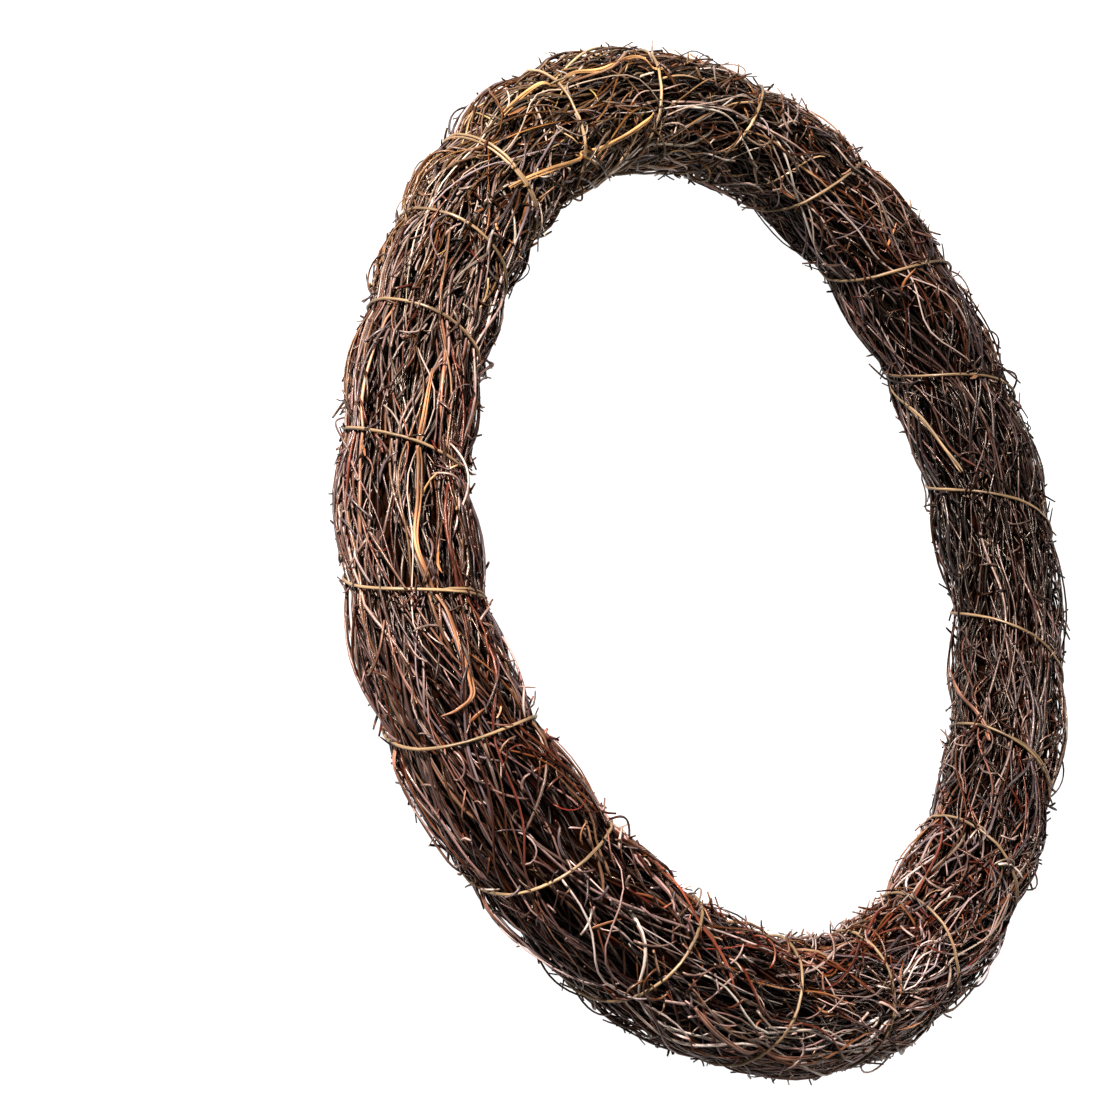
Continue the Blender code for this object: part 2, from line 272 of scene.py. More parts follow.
def place(u, v, lift):
    """Points at u and v, lifted from the bundle's radius, and the unit vectors that lead out to them."""
    u, v, lift = np.broadcast_arrays(*(np.asarray(value, float) for value in (u, v, lift)))
    centre, outward = centre_line(u)
    around = np.radians(v)[..., None]
    out = np.cos(around) * outward + np.sin(around) * np.array((0, 0, 1))
    return centre + (bundle_radius(u) + lift)[..., None] * out, out


def angle_of_turn(turn):
    """The angle u where the binding vine is after this many turns, counted on top of the bundle."""
    whole = np.floor(np.asarray(turn, float) / TURNS)
    tops = BINDING_TOPS + (BINDING_TOPS[0] + 360,)
    return np.interp(turn - whole * TURNS, np.arange(TURNS + 1), tops) + 360 * whole


def turn_of_angle(u):
    """The count of turns that the binding vine has made on top of the bundle at angle u."""
    whole = np.floor((np.asarray(u, float) - BINDING_TOPS[0]) / 360)
    tops = BINDING_TOPS + (BINDING_TOPS[0] + 360,)
    return np.interp(u - 360 * whole, tops, np.arange(TURNS + 1)) + TURNS * whole


def slant(u, v):
    """How far the binding vine's slope on top, in degrees, differs round the ring from an even winding."""
    mean, size, crest = BINDING_SLANT
    return (mean + size * np.cos(np.radians(u - crest))) * np.sin(np.radians(v - TOP_VIEW))


def angle_between(turn, v):
    """The angle u at v of a place this many turns along; whole numbers are on the binding vine."""
    u = angle_of_turn(turn + (v - TOP_VIEW) / 360)
    return u + slant(u, v)


def from_binding(u, v):
    """How far the place is from the nearest turn of the binding vine, in turns from -0.5 to 0.5."""
    turn = turn_of_angle(u - slant(u, v)) - (v - TOP_VIEW) / 360
    return turn - np.round(turn)


def by_region(u, values):
    """The value for angle u between those given at the region angles."""
    return np.interp(np.asarray(u) % 360, REGION_ANGLES, values)


class Bunch:
    """Tubes gathered for one piece: their corners, faces, bark colours and the run of their grain."""

    def __init__(self):
        self.count = 0
        self.points = []
        self.loops = []
        self.sizes = []
        self.materials = []
        self.colors = []
        self.grain = []

    def add(self, rings, colors, lengths, seed, material=0):
        """Tubes through rings of points, twig by step by side, closed by a cap at each end."""
        twigs, steps, sides = rings.shape[:3]
        corner = self.count + np.arange(rings[..., 0].size).reshape(twigs, steps, sides)
        here, there = corner[:, :-1], corner[:, 1:]
        walls = np.stack([here, np.roll(here, -1, 2), np.roll(there, -1, 2), there], -1)
        caps = np.concatenate([corner[:, 0, ::-1], corner[:, -1]])
        self.count += corner.size
        self.points.append(rings.reshape(-1, 3))
        self.loops += [walls.reshape(-1), caps.reshape(-1)]
        self.sizes += [np.full(walls.size // 4, 4), np.full(len(caps), sides)]
        self.materials.append(np.full(walls.size // 4 + len(caps), material))
        self.colors.append(np.broadcast_to(colors[..., None, :], (twigs, steps, sides, 3)).reshape(-1, 3))
        self.grain.append(grain_run(rings.shape, lengths, seed))

    def piece(self, name, *materials):
        """The gathered tubes as one smooth-shaded mesh object."""
        mesh = bpy.data.meshes.new(name)
        points = np.concatenate(self.points)
        loops = np.concatenate(self.loops)
        sizes = np.concatenate(self.sizes)
        mesh.vertices.add(len(points))
        mesh.vertices.foreach_set("co", points.astype(np.float32).ravel())
        mesh.loops.add(len(loops))
        mesh.loops.foreach_set("vertex_index", loops.astype(np.int32))
        mesh.polygons.add(len(sizes))
        mesh.polygons.foreach_set("loop_start", (np.cumsum(sizes) - sizes).astype(np.int32))
        mesh.polygons.foreach_set("material_index", np.concatenate(self.materials).astype(np.int32))
        mesh.update(calc_edges=True)
        mesh.validate()
        mesh.shade_smooth()
        colors = np.concatenate(self.colors)
        colors = np.concatenate([colors, np.ones((len(colors), 1))], 1)
        mesh.attributes.new("bark", "FLOAT_COLOR", "POINT").data.foreach_set("color", colors.ravel())
        grain = np.concatenate(self.grain)
        mesh.attributes.new("grain", "FLOAT_VECTOR", "POINT").data.foreach_set("vector", grain.ravel())
        for material in materials:
            mesh.materials.append(material)
        made = bpy.data.objects.new(name, mesh)
        bpy.context.scene.collection.objects.link(made)
        return made


def grain_run(shape, lengths, seed):
    """Where each corner lies in the grain: the cosine and sine round the twig in x and y, and the length
    along it times the grain's rate in z, from a random start for each twig."""
    twigs, steps, sides = shape[:3]
    rng = np.random.default_rng(seed)
    turn = 2 * np.pi * np.arange(sides) / sides
    start = rng.uniform(0, 100, (twigs, 3))
    grain = np.zeros((twigs, steps, sides, 3))
    grain[..., 0] = np.cos(turn)
    grain[..., 1] = np.sin(turn)
    grain[..., 2] = (np.linspace(0, 1, steps) * lengths[:, None] * GRAIN_RATE)[..., None]
    return (grain + start[:, None, None]).reshape(-1, 3)


def kept_inside(path, radius):
    """The path kept above the floor and inside the solid model's box: what is past a limit less a soft
    edge is drawn back, so that it nears the limit as an exponential."""
    low, high = np.array(cad_box)
    room = radius[..., None] + SIDE_ROOM
    over = path - (high - room - SOFT_EDGE)
    path = np.where(over > 0, high - room - SOFT_EDGE * np.exp(-np.maximum(over, 0) / SOFT_EDGE), path)
    under = low + room + SOFT_EDGE - path
    return np.where(under > 0, low + room + SOFT_EDGE * np.exp(-np.maximum(under, 0) / SOFT_EDGE), path)


def sections(path, out, radius, sides, flatness=1):
    """Rings round each path: the radius times cosine outward and sine sideways, square to the course."""
    path = kept_inside(path, radius)
    course = np.gradient(path, axis=1)
    course /= np.linalg.norm(course, axis=-1, keepdims=True) + 1e-12
    out = out - (out * course).sum(-1, keepdims=True) * course
    out /= np.linalg.norm(out, axis=-1, keepdims=True) + 1e-12
    side = np.cross(course, out)
    turn = 2 * np.pi * (np.arange(sides) + 0.5) / sides
    reach = flatness * np.cos(turn)[:, None] * out[..., None, :] + np.sin(turn)[:, None] * side[..., None, :]
    return path[..., None, :] + radius[..., None, None] * reach


def wander(u_mid, v_mid, length, heading):
    """Paths u, v over the bundle that follow a heading: the way along the ring is the running sum of its
    cosine, and the way round the bundle that of its sine, each counted from the path's middle."""
    step = (length / (heading.shape[1] - 1))[:, None]
    ahead = np.cumsum(np.cos(heading), 1) * step
    across = np.cumsum(np.sin(heading), 1) * step
    middle = heading.shape[1] // 2
    ahead -= ahead[:, middle, None]
    across -= across[:, middle, None]
    u = u_mid[:, None] + np.degrees(ahead / ring_radius(u_mid)[:, None])
    v = v_mid[:, None] + np.degrees(across / bundle_radius(u_mid)[:, None])
    return u, v


def in_groups(rng, count, group, low, high, own):
    """Random numbers from low to high, one a twig. Twigs of a group share one, give or take a bell-shaped
    random number of the size own, and a twig by itself gets its own."""
    shared = np.repeat(rng.uniform(low, high, count // group + 1), group)[:count]
    return shared + rng.normal(0, own, count) * (group > 1)


def swaying(rng, length, steps, lean, sway, group=1):
    """Headings in radians: a lean for each twig, plus a slow and a quick sine wave along it."""
    share = np.linspace(0, 1, steps)
    heading = (in_groups(rng, len(length), group, -MOST_SWAY, MOST_SWAY, 0.35) * lean)[:, None]
    for wave_length in (SLOW_SWAY, QUICK_SWAY):
        waves = length[:, None] / wave_length
        size = (in_groups(rng, len(length), group, -MOST_SWAY, MOST_SWAY, 0.35) * sway)[:, None]
        start = in_groups(rng, len(length), group, 0, 1, 0.06)[:, None]
        heading = heading + size * np.sin(2 * np.pi * (share * waves + start))
    return heading


def tucked(length, steps):
    """How deep the ends are tucked in: falls off from each end as an exponential of the distance."""
    run = np.linspace(0, 1, steps) * length[:, None]
    return END_TUCK * (np.exp(-run / END_REACH) + np.exp((run - length[:, None]) / END_REACH))


def waist(u, v, lift, rise):
    """The lift, drawn in under the binding vine by a bell curve and raised between its turns by a squared
    sine, and never higher at the binding than its underside."""
    apart = from_binding(u, v)
    pinch = np.exp(-((apart / WAIST_REACH) ** 2))
    lift = lift - WAIST_DEPTH * pinch + rise[:, None] * np.sin(np.pi * apart) ** 2
    return np.minimum(lift, UNDER_BINDING - pinch * BINDING_DENT + (1 - pinch) * OPEN_LIFT)


def bark_colors(rng, u_mid, steps, dark=0.0, group=1):
    """One bark colour a twig, drawn by the share of each. Its green is moved by a part of its own span from
    blue to red, it is lighter or darker by the exponential of a random number less the given darkness, it
    fades along the twig as a sine, and a light colour is drawn in by dividing by one plus twice itself."""
    colors, cool, warm = (np.array(values) for values in zip(*BARKS))
    mix = by_region(u_mid, WARMTH)[:, None]
    shares = cool + (warm - cool) * mix
    draw = in_groups(rng, len(u_mid), group, 0, 1, 0.12) % 1
    picked = (draw[:, None] > np.cumsum(shares / shares.sum(1, keepdims=True), 1)).sum(1)
    # The bark times its lightness round the ring: partly its own tone, partly painted light and shade
    color = colors[np.minimum(picked, len(colors) - 1)] * by_region(u_mid, TONE_AND_PAINTED_LIGHT)[:, None]
    yellow = by_region(u_mid, YELLOWNESS) + np.clip(rng.normal(0, HUE_SPREAD, len(u_mid)), *HUE_LIMITS)
    color[:, 1] += yellow * (color[:, 0] - color[:, 2])
    light = np.minimum(rng.normal(0, LIGHTNESS_SPREAD, (len(u_mid), 1)), LIGHTEST)
    # For the packed twigs the darkness given is painted shade that grows with depth; curly twigs and tips get
    # a set darkness
    color = color * np.exp(light - dark)
    wave = np.linspace(0, 1, steps) * BARK_FADE_WAVES + rng.random((len(u_mid), 1))
    fade = 1 + BARK_FADE * np.sin(2 * np.pi * wave)
    color = color[:, None] * fade[..., None]
    return color / (1 + DRAWN_IN * color)


def twig_radius(rng, count, steps, radii, taper):
    """Radii along each twig: its own radius, less towards one of its ends, with slight swellings."""
    thin, thick = radii
    own = thin + (thick - thin) * rng.random((count, 1)) ** 1.4
    share = np.linspace(0, 1, steps)
    share = np.where(rng.random((count, 1)) < 0.5, share, 1 - share)
    swelling = 1 + 0.18 * (rng.random((count, steps)) > 0.86) + 0.05 * rng.normal(0, 1, (count, steps))
    return own * (1 - taper * share) * swelling


def middles(rng, first, count, group=1):
    """Random places u, v for the middles of twigs, over the three handfuls from this one on."""
    v_mid = in_groups(rng, count, group, -180, 180, 5.5)
    turn = in_groups(rng, count, group, first, first + TURNS // BINDING_LENGTHS, 0.3)
    return angle_between(turn, v_mid), v_mid


def packed_twigs(rng, bunch, first, count, steps, sides, depths, group):
    """Twigs laid lengthwise between two depths under the bundle's surface, swaying a little up and down,
    their bark darkened with depth as painted shade.
    """
    u_mid, v_mid = middles(rng, first, count, group)
    tangle = by_region(u_mid, TANGLE)
    length = rng.uniform(*PACKED_LENGTHS, count)
    heading = swaying(rng, length, steps, 0.07 + 0.30 * tangle, 0.09 + 0.25 * tangle, group)
    u, v = wander(u_mid, v_mid, length, heading)
    run = np.linspace(0, 1, steps) * length[:, None]
    dive = (0.0006 + 0.0010 * tangle)[:, None]
    wobble = dive * np.sin(2 * np.pi * (run / UP_AND_DOWN + rng.random((count, 1))))
    depth = np.maximum(in_groups(rng, count, group, *depths, 0.0004), depths[0])[:, None]
    lift = waist(u, v, wobble - depth - tucked(length, steps), np.zeros(count))
    radius = twig_radius(rng, count, steps, PACKED_RADII, 0.25)
    path, out = place(u, v, lift)
    seed = first + int(depths[0] * 100000)
    # Deeper twigs get darker bark: painted shade, as the twigs above them keep the light off
    colors = bark_colors(rng, u_mid, steps, depth * INNER_PAINTED_SHADE, group)
    bunch.add(sections(path, out, radius, sides), colors, length, seed)
    return path, out


def loose_twigs(rng, bunch, first, count=84, steps=20, sides=5):
    """Twigs that are held under the binding vine and arch off the bundle between its turns."""
    u_mid, v_mid = middles(rng, first, count, GROUP)
    tangle = by_region(u_mid, TANGLE)
    length = rng.uniform(*LOOSE_LENGTHS, count)
    heading = swaying(rng, length, steps, 0.08 + 0.32 * tangle, 0.11 + 0.28 * tangle, GROUP)
    u, v = wander(u_mid, v_mid, length, heading)
    rise = rng.uniform(*LOOSE_RISES, count)
    lift = waist(u, v, -0.0002 - tucked(length, steps), rise)
    radius = twig_radius(rng, count, steps, LOOSE_RADII, 0.3)
    path, out = place(u, v, lift)
    colors = bark_colors(rng, u_mid, steps, 0.0, GROUP)
    bunch.add(sections(path, out, radius, sides), colors, length, first + LOOSE)


def curly_twigs(rng, bunch, first, count=64, steps=18, sides=5):
    """Twigs that bend across the others in arcs and loops: their heading turns steadily along them."""
    u_mid, v_mid = middles(rng, first, count)
    tangle = by_region(u_mid, TANGLE)
    length = rng.uniform(*CURLY_LENGTHS, count)
    bend = rng.uniform(-1.7, 1.7, count) * (0.4 + 1.5 * tangle)
    share = np.linspace(-0.5, 0.5, steps)
    heading = swaying(rng, length, steps, 0.05 + 0.80 * tangle, 0.10 + 0.30 * tangle)
    u, v = wander(u_mid, v_mid, length, heading + bend[:, None] * share)
    lift = rng.uniform(*CURLY_LIFTS, (count, 1)) - tucked(length, steps)
    lift = waist(u, v, lift, rng.uniform(*CURLY_RISES, count))
    radius = twig_radius(rng, count, steps, CURLY_RADII, 0.4)
    path, out = place(u, v, lift)
    colors = bark_colors(rng, u_mid, steps, CURLY_DARKNESS)
    bunch.add(sections(path, out, radius, sides), colors, length, first + CURLY)


def loose_tips(rng, bunch, first, count=380, steps=5, sides=4):
    """Twig ends that leave the bundle at a slant: their lift grows as a power of the way along."""
    u_mid, v_mid = middles(rng, first, count)
    tangle = by_region(u_mid, TANGLE)
    length = rng.uniform(*TIP_LENGTHS, count)
    heading = swaying(rng, length, steps, 0.30 + 0.4 * tangle, 0.3 + 0.3 * tangle)
    heading = heading + np.pi * (rng.random((count, 1)) < 0.5)
    share = np.linspace(0, 1, steps)
    u, v = wander(u_mid, v_mid, length, heading + rng.normal(0, 1.0, (count, 1)) * share)
    reach = TIP_REACH * rng.random((count, 1)) ** 1.4 * np.minimum(1, length[:, None] / LONG_TIP) + 0.0002
    lift = -TIP_ROOT + (reach + TIP_ROOT) * share ** rng.uniform(0.6, 1.4, (count, 1))
    radius = rng.uniform(*TIP_RADII, (count, 1)) * (1 - 0.3 * share)
    path, out = place(u, v, lift)
    colors = bark_colors(rng, u_mid, steps, TIP_DARKNESS)
    bunch.add(sections(path, out, radius, sides), colors, length, first + TIP)


def small_loops(rng, bunch, first, count=26, steps=11, sides=4):
    """Tendrils that come out of the bundle and go back in: a half sine in lift and a bend in heading."""
    u_mid, v_mid = middles(rng, first, count)
    tangle = by_region(u_mid, TANGLE)
    length = rng.uniform(*LOOP_LENGTHS, count)
    heading = swaying(rng, length, steps, 0.5 + 0.6 * tangle, np.full(count, 0.3))
    share = np.linspace(0, 1, steps)
    u, v = wander(u_mid, v_mid, length, heading + rng.normal(0, 1.6, (count, 1)) * (share - 0.5))
    rise = rng.uniform(*LOOP_RISES, (count, 1))
    lift = -LOOP_ROOT + rise * np.sin(np.pi * share) ** 0.8
    radius = rng.uniform(*LOOP_RADII, (count, 1)) * np.ones(steps)
    path, out = place(u, v, lift)
    colors = bark_colors(rng, u_mid, steps, CURLY_DARKNESS)
    bunch.add(sections(path, out, radius, sides), colors, length, first + LOOP)


def spurs(rng, bunch, first, path, out, count=120, steps=3, sides=4):
    """Short stubs on the twigs, like thorns: straight, leaning forward from the twig that bears them."""
    twig = rng.integers(0, path.shape[0], count)
    step = rng.integers(4, path.shape[1] - 4, count)
    root = path[twig, step]
    course = path[twig, step + 1] - path[twig, step - 1]
    course /= np.linalg.norm(course, axis=1, keepdims=True)
    outward = out[twig, step]
    side = np.cross(course, outward)
    lean = rng.uniform(0.4, 1.2, (count, 1))
    roll = rng.normal(0, 0.8, (count, 1))
    aim = np.cos(lean) * course + np.sin(lean) * (np.cos(roll) * outward + np.sin(roll) * side)
    length = rng.uniform(*SPUR_LENGTHS, count)
    share = np.linspace(0, 1, steps)
    run = root[:, None] + (share * length[:, None])[..., None] * aim[:, None]
    across = np.broadcast_to((course - outward)[:, None], run.shape)
    radius = rng.uniform(*SPUR_RADII, (count, 1)) * (1 - 0.5 * share)
    colors = bark_colors(rng, np.degrees(np.arctan2(root[:, 1], root[:, 0])), steps)
    colors[:, -1] = 0.5 * colors[:, -1] + 0.5 * np.array(CUT_WOOD)
    bunch.add(sections(run, across, radius, sides), colors, length, first + SPUR)


def bark_flakes(rng, bunch, first, count=6, steps=7, sides=6):
    """Curled shreds of peeled bark: short, flat and tapered to both ends, in orange and tan."""
    u_mid, v_mid = middles(rng, first, count)
    length = rng.uniform(*FLAKE_LENGTHS, count)
    heading = swaying(rng, length, steps, np.full(count, 0.7), np.full(count, 0.9))
    u, v = wander(u_mid, v_mid, length, heading)
    share = np.linspace(0, 1, steps)
    lift = -0.0004 + rng.uniform(*FLAKE_RISES, (count, 1)) * share ** 2
    radius = rng.uniform(*FLAKE_RADII, (count, 1)) * (0.3 + 0.7 * np.sin(np.pi * share ** 0.7))
    path, out = place(u, v, lift)
    own = np.array(FLAKE_COLOR) * rng.uniform(0.4, 1.6, (count, 1, 1))
    colors = np.broadcast_to(own, (count, steps, 3))
    bunch.add(sections(path, out, radius, sides, FLAKE_FLATNESS), colors, length, first + FLAKE)


def core(bunch, first, steps=30, sides=40):
    """The dark inside of the bundle, seen only through gaps: a round tube under the twigs, near black as
    painted shade.
    """
    turns = TURNS // BINDING_LENGTHS
    u = angle_of_turn(first + turns * np.linspace(-CORE_OVERLAP, 1 + CORE_OVERLAP, steps))
    path, out = place(u[None], np.zeros((1, steps)), -bundle_radius(u)[None])
    radius = bundle_radius(u)[None] - CORE_DEPTH
    course = np.gradient(path, axis=1)
    course /= np.linalg.norm(course, axis=-1, keepdims=True)
    turn = 2 * np.pi * np.arange(sides) / sides
    up = np.cross(course, out)
    reach = np.cos(turn)[:, None] * out[..., None, :] + np.sin(turn)[:, None] * up[..., None, :]
    rings = path[..., None, :] + radius[..., None, None] * reach
    colors = np.broadcast_to(np.array(CORE_PAINTED_SHADE), (1, steps, 3))
    bunch.add(rings, colors, np.array([CORE_LENGTH]), first + CORE, material=1)


def vine_length(number, bark, hollow):
    """A seventh of the bundle with all its twigs, which stands for three handfuls."""
    first = number * TURNS // BINDING_LENGTHS
    rng = np.random.default_rng(TWIG_SEED + number)
    bunch = Bunch()
    core(bunch, first)
    packed_twigs(rng, bunch, first, **INNER_LAYER)
    path, out = packed_twigs(rng, bunch, first, **OUTER_LAYER)
    loose_twigs(rng, bunch, first)
    curly_twigs(rng, bunch, first)
    loose_tips(rng, bunch, first)
    small_loops(rng, bunch, first)
    spurs(rng, bunch, first, path, out)
    bark_flakes(rng, bunch, first)
    piece = bunch.piece(f"twig_bundle_{number + 1}", bark, hollow)
    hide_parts(*(f"vine_handful_{first + i + 1:02d}" for i in range(TURNS // BINDING_LENGTHS)))
    return piece


def strand(rng, bunch, u, v, lift, radius, colors, seed, sides=8, flatness=1):
    """One long vine: a tube along the path u, v, lift, with slight swellings, and with skin that is lighter
    and darker by the exponential of a slow sine."""
    steps = len(u)
    path, out = place(u[None], v[None], lift[None])
    length = np.linalg.norm(np.diff(path[0], axis=0), axis=1).sum()
    thick = radius * (1 + 0.06 * np.sin(np.linspace(0, 1, steps) * length / 0.004 + rng.random() * 6))
    thick = thick * (1 + 0.03 * rng.normal(0, 1, steps))
    rings = sections(path, out, thick[None], sides, flatness)
    fade = np.exp(STRAND_FADE * np.sin(np.linspace(0, 1, steps) * length / STRAND_PATCH + rng.random() * 6))
    bunch.add(rings, (colors * fade[:, None])[None], np.array([length]), seed)


def vine_skin(u):
    """The binding vine's colour at angle u: its skin times the lightness there, which is partly its own tone
    and partly painted light and shade.
    """
    return np.array(VINE_SKIN) * by_region(u, VINE_TONE_AND_PAINTED_LIGHT)[:, None]


def binding_length(number, material):
    """Three turns of the binding vine, from underside to underside, with a second strand where it has one."""
    turns = TURNS // BINDING_LENGTHS
    rng = np.random.default_rng(BINDING_SEED + number)
    wound = number * turns - 0.5 + np.arange(turns * BINDING_STEPS + 1) / BINDING_STEPS
    v = TOP_VIEW + 360 * wound
    u = angle_between(0, v)
    wobble = 0.00012 * np.sin(np.radians(v * 7 + 50)) + 0.0001 * np.sin(np.radians(v * 17))
    bunch = Bunch()
    strand(rng, bunch, u, v, BINDING_LIFT + wobble, BINDING_RADIUS, vine_skin(u), number)
    for turn, start, end, beside in DOUBLED_TURNS:
        if turn // turns == number:
            v = np.linspace(start, end, DOUBLED_STEPS)
            apart = beside * np.sin(np.pi * np.linspace(0, 1, DOUBLED_STEPS)) ** 0.6
            u = angle_between(turn + apart, v)
            lift = np.full(DOUBLED_STEPS, BINDING_LIFT - 0.0001)
            strand(rng, bunch, u, v, lift, BINDING_RADIUS * 0.9, vine_skin(u), number + SECOND_STRAND)
    piece = bunch.piece(f"binding_strand_{number + 1}", material)
    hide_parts(f"binding_vine_{number + 1}")
    return piece


def curve_through(route, step):
    """A Catmull-Rom curve through the chosen places, in steps of about this length."""
    points = np.array(route, float)
    ends = np.concatenate([[2 * points[0] - points[1]], points, [2 * points[-1] - points[-2]]])
    path, _ = place(points[:, 0], points[:, 1], 0)
    length = np.linalg.norm(np.diff(path, axis=0), axis=1).sum()
    where = np.linspace(0, len(points) - 1.000001, int(length / step) + 2)
    span = where.astype(int)
    share = (where - span)[:, None]
    before, start, end, after = (ends[span + i] for i in range(4))
    curve = 2 * start + (end - before) * share
    curve += (2 * before - 5 * start + 4 * end - after) * share ** 2
    curve += (3 * start - before - 3 * end + after) * share ** 3
    return curve[:, 0] / 2, curve[:, 1] / 2


def single_vine(name, solid, route, color, slot, material, seed):
    """A vine of another colour that lies on the bundle, split in strands side by side, and held down by the
    binding vine. Each strand keeps its own distance from the route, give or take a slow sine."""
    rng = np.random.default_rng(seed)
    u, v = curve_through(route, ROUTE_STEP)
    share = np.linspace(0, 1, len(u))
    bunch = Bunch()
    for beside, thick in STRANDS:
        across = (beside + 0.35 * np.sin(2 * np.pi * (share * 1.7 + rng.random()))) * ROUTE_RADIUS
        v_here = v + np.degrees(across / bundle_radius(u))
        pinch = np.exp(-((from_binding(u, v_here) / ROUTE_WAIST) ** 2))
        lift = ROUTE_LIFT - pinch * (ROUTE_LIFT + ROUTE_DIP) - 0.0002 * abs(beside)
        taper = np.minimum(1, 0.4 + 5 * np.minimum(share, 1 - share))
        streak = np.exp(ROUTE_STREAK * np.sin(share[:, None] * 19 + seed) + rng.normal(0, 0.15))
        radius = ROUTE_RADIUS * thick * taper
        strand(rng, bunch, u, v_here, lift, radius, np.array(color) * streak, seed, flatness=0.7)
    piece = bunch.piece(name, material)
    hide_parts(solid)
    return piece


def noise(tree, where, scale, detail, roughness=0.5):
    """Noise over the given places, as a value from zero to one."""
    made = tree.nodes.new("ShaderNodeTexNoise")
    made.inputs["Scale"].default_value = scale
    made.inputs["Detail"].default_value = detail
    made.inputs["Roughness"].default_value = roughness
    tree.links.new(where, made.inputs["Vector"])
    return made.outputs["Fac"]


def moved(tree, value, source, target):
    """The value, moved from its source range to the target range and cut off at the ends."""
    made = tree.nodes.new("ShaderNodeMapRange")
    for socket, number in zip(("From Min", "From Max", "To Min", "To Max"), (*source, *target)):
        made.inputs[socket].default_value = number
    tree.links.new(value, made.inputs["Value"])
    return made.outputs["Result"]


def hollow_material():
    """The shade inside the bundle: a matt dark brown without gloss, mottled by noise."""
    made = bpy.data.materials.new("shade between the twigs")
    made.use_nodes = True
    tree = made.node_tree
    shader = tree.nodes["Principled BSDF"]
    shader.inputs["Specular IOR Level"].default_value = 0.0
    shader.inputs["Roughness"].default_value = 1.0
    where = tree.nodes.new("ShaderNodeTexCoord").outputs["Object"]
    shade = tree.nodes.new("ShaderNodeMix")
    shade.data_type = "RGBA"
    shade.inputs["A"].default_value = (*CORE_PAINTED_SHADE, 1)
    shade.inputs["B"].default_value = (*(2.5 * np.array(CORE_PAINTED_SHADE)), 1)
    tree.links.new(noise(tree, where, 900, 2), shade.inputs["Factor"])
    tree.links.new(shade.outputs["Result"], shader.inputs["Base Color"])
    return made


def bark_material(name, roughness, bump, spots):
    """Bark in the twig's own colour, times light and dark streaks and times worn patches, with a roughness
    and a relief that follow the streaks. Both noises run along the grain."""
    made = bpy.data.materials.new(name)
    made.use_nodes = True
    tree = made.node_tree
    shader = tree.nodes["Principled BSDF"]
    shader.inputs["Specular IOR Level"].default_value = BARK_GLOSS
    shader.inputs["Specular Tint"].default_value = GLOSS_TINT
    bark = tree.nodes.new("ShaderNodeAttribute")
    bark.attribute_name = "bark"
    grain = tree.nodes.new("ShaderNodeAttribute")
    grain.attribute_name = "grain"
    streaks = noise(tree, grain.outputs["Vector"], 1.6, 3, 0.6)
    patches = noise(tree, grain.outputs["Vector"], 0.35, 2)
    both = tree.nodes.new("ShaderNodeMath")
    both.operation = "MULTIPLY"
    tree.links.new(moved(tree, streaks, (0.3, 0.7), (1 - spots, 1 + spots)), both.inputs[0])
    tree.links.new(moved(tree, patches, (0.35, 0.65), (0.6, 1.4)), both.inputs[1])
    tinted = tree.nodes.new("ShaderNodeVectorMath")
    tinted.operation = "SCALE"
    tree.links.new(bark.outputs["Color"], tinted.inputs[0])
    tree.links.new(both.outputs["Value"], tinted.inputs["Scale"])
    tree.links.new(tinted.outputs["Vector"], shader.inputs["Base Color"])
    span = (roughness - ROUGHNESS_SPREAD, roughness + ROUGHNESS_SPREAD)
    tree.links.new(moved(tree, streaks, (0.3, 0.7), span), shader.inputs["Roughness"])
    relief = tree.nodes.new("ShaderNodeBump")
    relief.inputs["Strength"].default_value = bump
    relief.inputs["Distance"].default_value = RELIEF_HEIGHT
    tree.links.new(streaks, relief.inputs["Height"])
    tree.links.new(relief.outputs["Normal"], shader.inputs["Normal"])
    return made


def floor():
    """A plain white floor that is bright by itself, so that only a faint shadow shows under the wreath."""
    bpy.ops.mesh.primitive_plane_add(size=12, location=(0, 0, 0))
    made = bpy.context.object
    made.name = "floor"
    material = bpy.data.materials.new("floor")
    material.use_nodes = True
    shader = material.node_tree.nodes["Principled BSDF"]
    shader.inputs["Base Color"].default_value = (0.10, 0.10, 0.10, 1)
    shader.inputs["Roughness"].default_value = 0.9
    shader.inputs["Specular IOR Level"].default_value = 0.0
    shader.inputs["Emission Color"].default_value = (1, 1, 1, 1)
    shader.inputs["Emission Strength"].default_value = 0.90
    made.data.materials.append(material)


def soft_light(name, azimuth, elevation, distance, size, power):
    """A square area light aimed at the middle of the wreath."""
    lamp = bpy.data.lights.new(name, "AREA")
    lamp.size = size
    lamp.energy = power
    made = bpy.data.objects.new(name, lamp)
    bpy.context.scene.collection.objects.link(made)
    around, up = np.radians(azimuth), np.radians(elevation)
    back = Vector((np.sin(around) * np.cos(up), -np.cos(around) * np.cos(up), np.sin(up)))
    made.location = back * distance
    made.rotation_mode = "QUATERNION"
    made.rotation_quaternion = back.to_track_quat("Z", "Y")


def world():
    """Faint white light from all sides."""
    made = bpy.data.worlds.new("studio")
    bpy.context.scene.world = made
    made.use_nodes = True
    background = made.node_tree.nodes["Background"]
    background.inputs["Color"].default_value = (1, 1, 1, 1)
    background.inputs["Strength"].default_value = 0.085


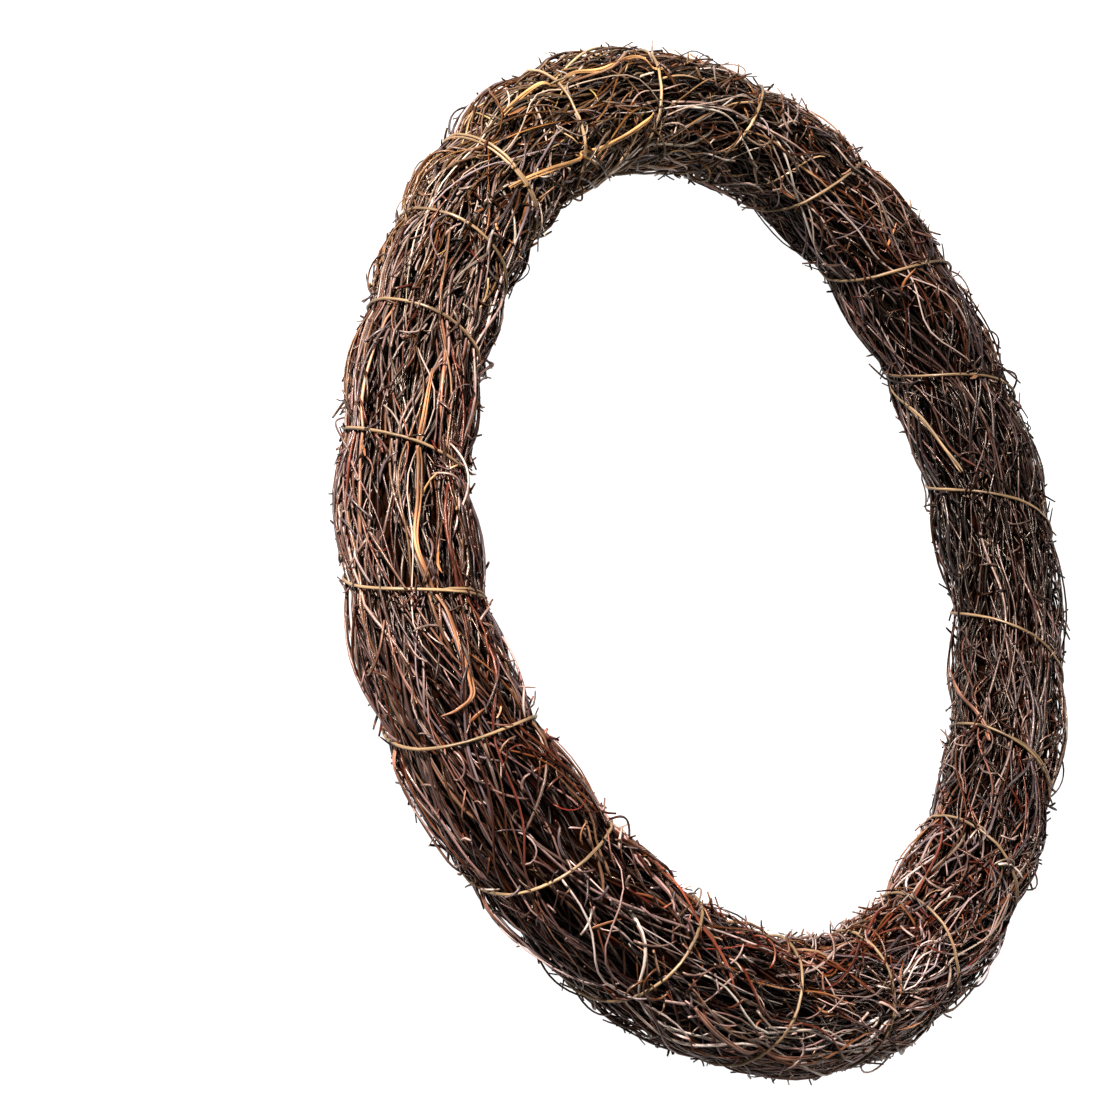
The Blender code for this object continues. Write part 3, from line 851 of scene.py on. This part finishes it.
def camera():
    """The camera above the near side, turned on its side and aimed left of and below the ring's middle."""
    around, up_angle, roll = np.radians((CAMERA_AZIMUTH, CAMERA_ELEVATION, CAMERA_ROLL))
    back = Vector((np.sin(around) * np.cos(up_angle), -np.cos(around) * np.cos(up_angle), np.sin(up_angle)))
    right = Vector((np.cos(around), np.sin(around), 0))
    up = back.cross(right)
    image_right = right * np.cos(roll) - up * np.sin(roll)
    image_up = right * np.sin(roll) + up * np.cos(roll)
    middle = Vector((*CENTRE_SHIFT, LOOK_AT_HEIGHT))
    eye = middle + back * CAMERA_DISTANCE
    target = middle + image_right * AIM[0] + image_up * AIM[1]
    back = (eye - target).normalized()
    side = image_up.cross(back).normalized()
    lens = bpy.data.cameras.new("camera")
    lens.lens = CAMERA_LENS
    lens.sensor_width = 36
    lens.clip_start = 0.05
    made = bpy.data.objects.new("camera", lens)
    bpy.context.scene.collection.objects.link(made)
    made.matrix_world = Matrix.Translation(eye) @ Matrix((side, back.cross(side), back)).transposed().to_4x4()
    bpy.context.scene.camera = made


def main():
    bpy.context.scene.view_settings.view_transform = "Standard"
    bpy.context.scene.view_settings.look = "Medium High Contrast"
    camera()
    floor()
    world()
    soft_light("key", azimuth=-5, elevation=30, distance=1.6, size=0.18, power=128)
    soft_light("overhead", azimuth=60, elevation=80, distance=1.8, size=1.2, power=9)
    soft_light("back", azimuth=190, elevation=38, distance=1.8, size=0.7, power=22)
    bark = bark_material("twig bark", roughness=0.33, bump=0.5, spots=0.40)
    skin = bark_material("smooth olive vine", roughness=0.42, bump=0.4, spots=0.45)
    peeled = bark_material("peeled tan wood", roughness=0.55, bump=0.4, spots=0.30)
    red = bark_material("red brown bark", roughness=0.50, bump=0.4, spots=0.30)
    hollow = hollow_material()
    made = [vine_length(number, bark, hollow) for number in range(BINDING_LENGTHS)]
    made += [binding_length(number, skin) for number in range(BINDING_LENGTHS)]
    for number, (route, color) in enumerate(zip(PALE_ROUTES, PALE_COLORS)):
        names = f"tan_vine_{number + 1}", f"pale_vine_{number + 1}"
        made.append(single_vine(*names, route, color, "peeled_wood", peeled, PALE_SEED + number))
    for number, route in enumerate(RED_ROUTES):
        names = f"rusty_vine_{number + 1}", f"red_vine_{number + 1}"
        made.append(single_vine(*names, route, RED_BARK, "red_bark", red, RED_SEED + number))
    for piece in made:
        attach(piece, "root")


main()
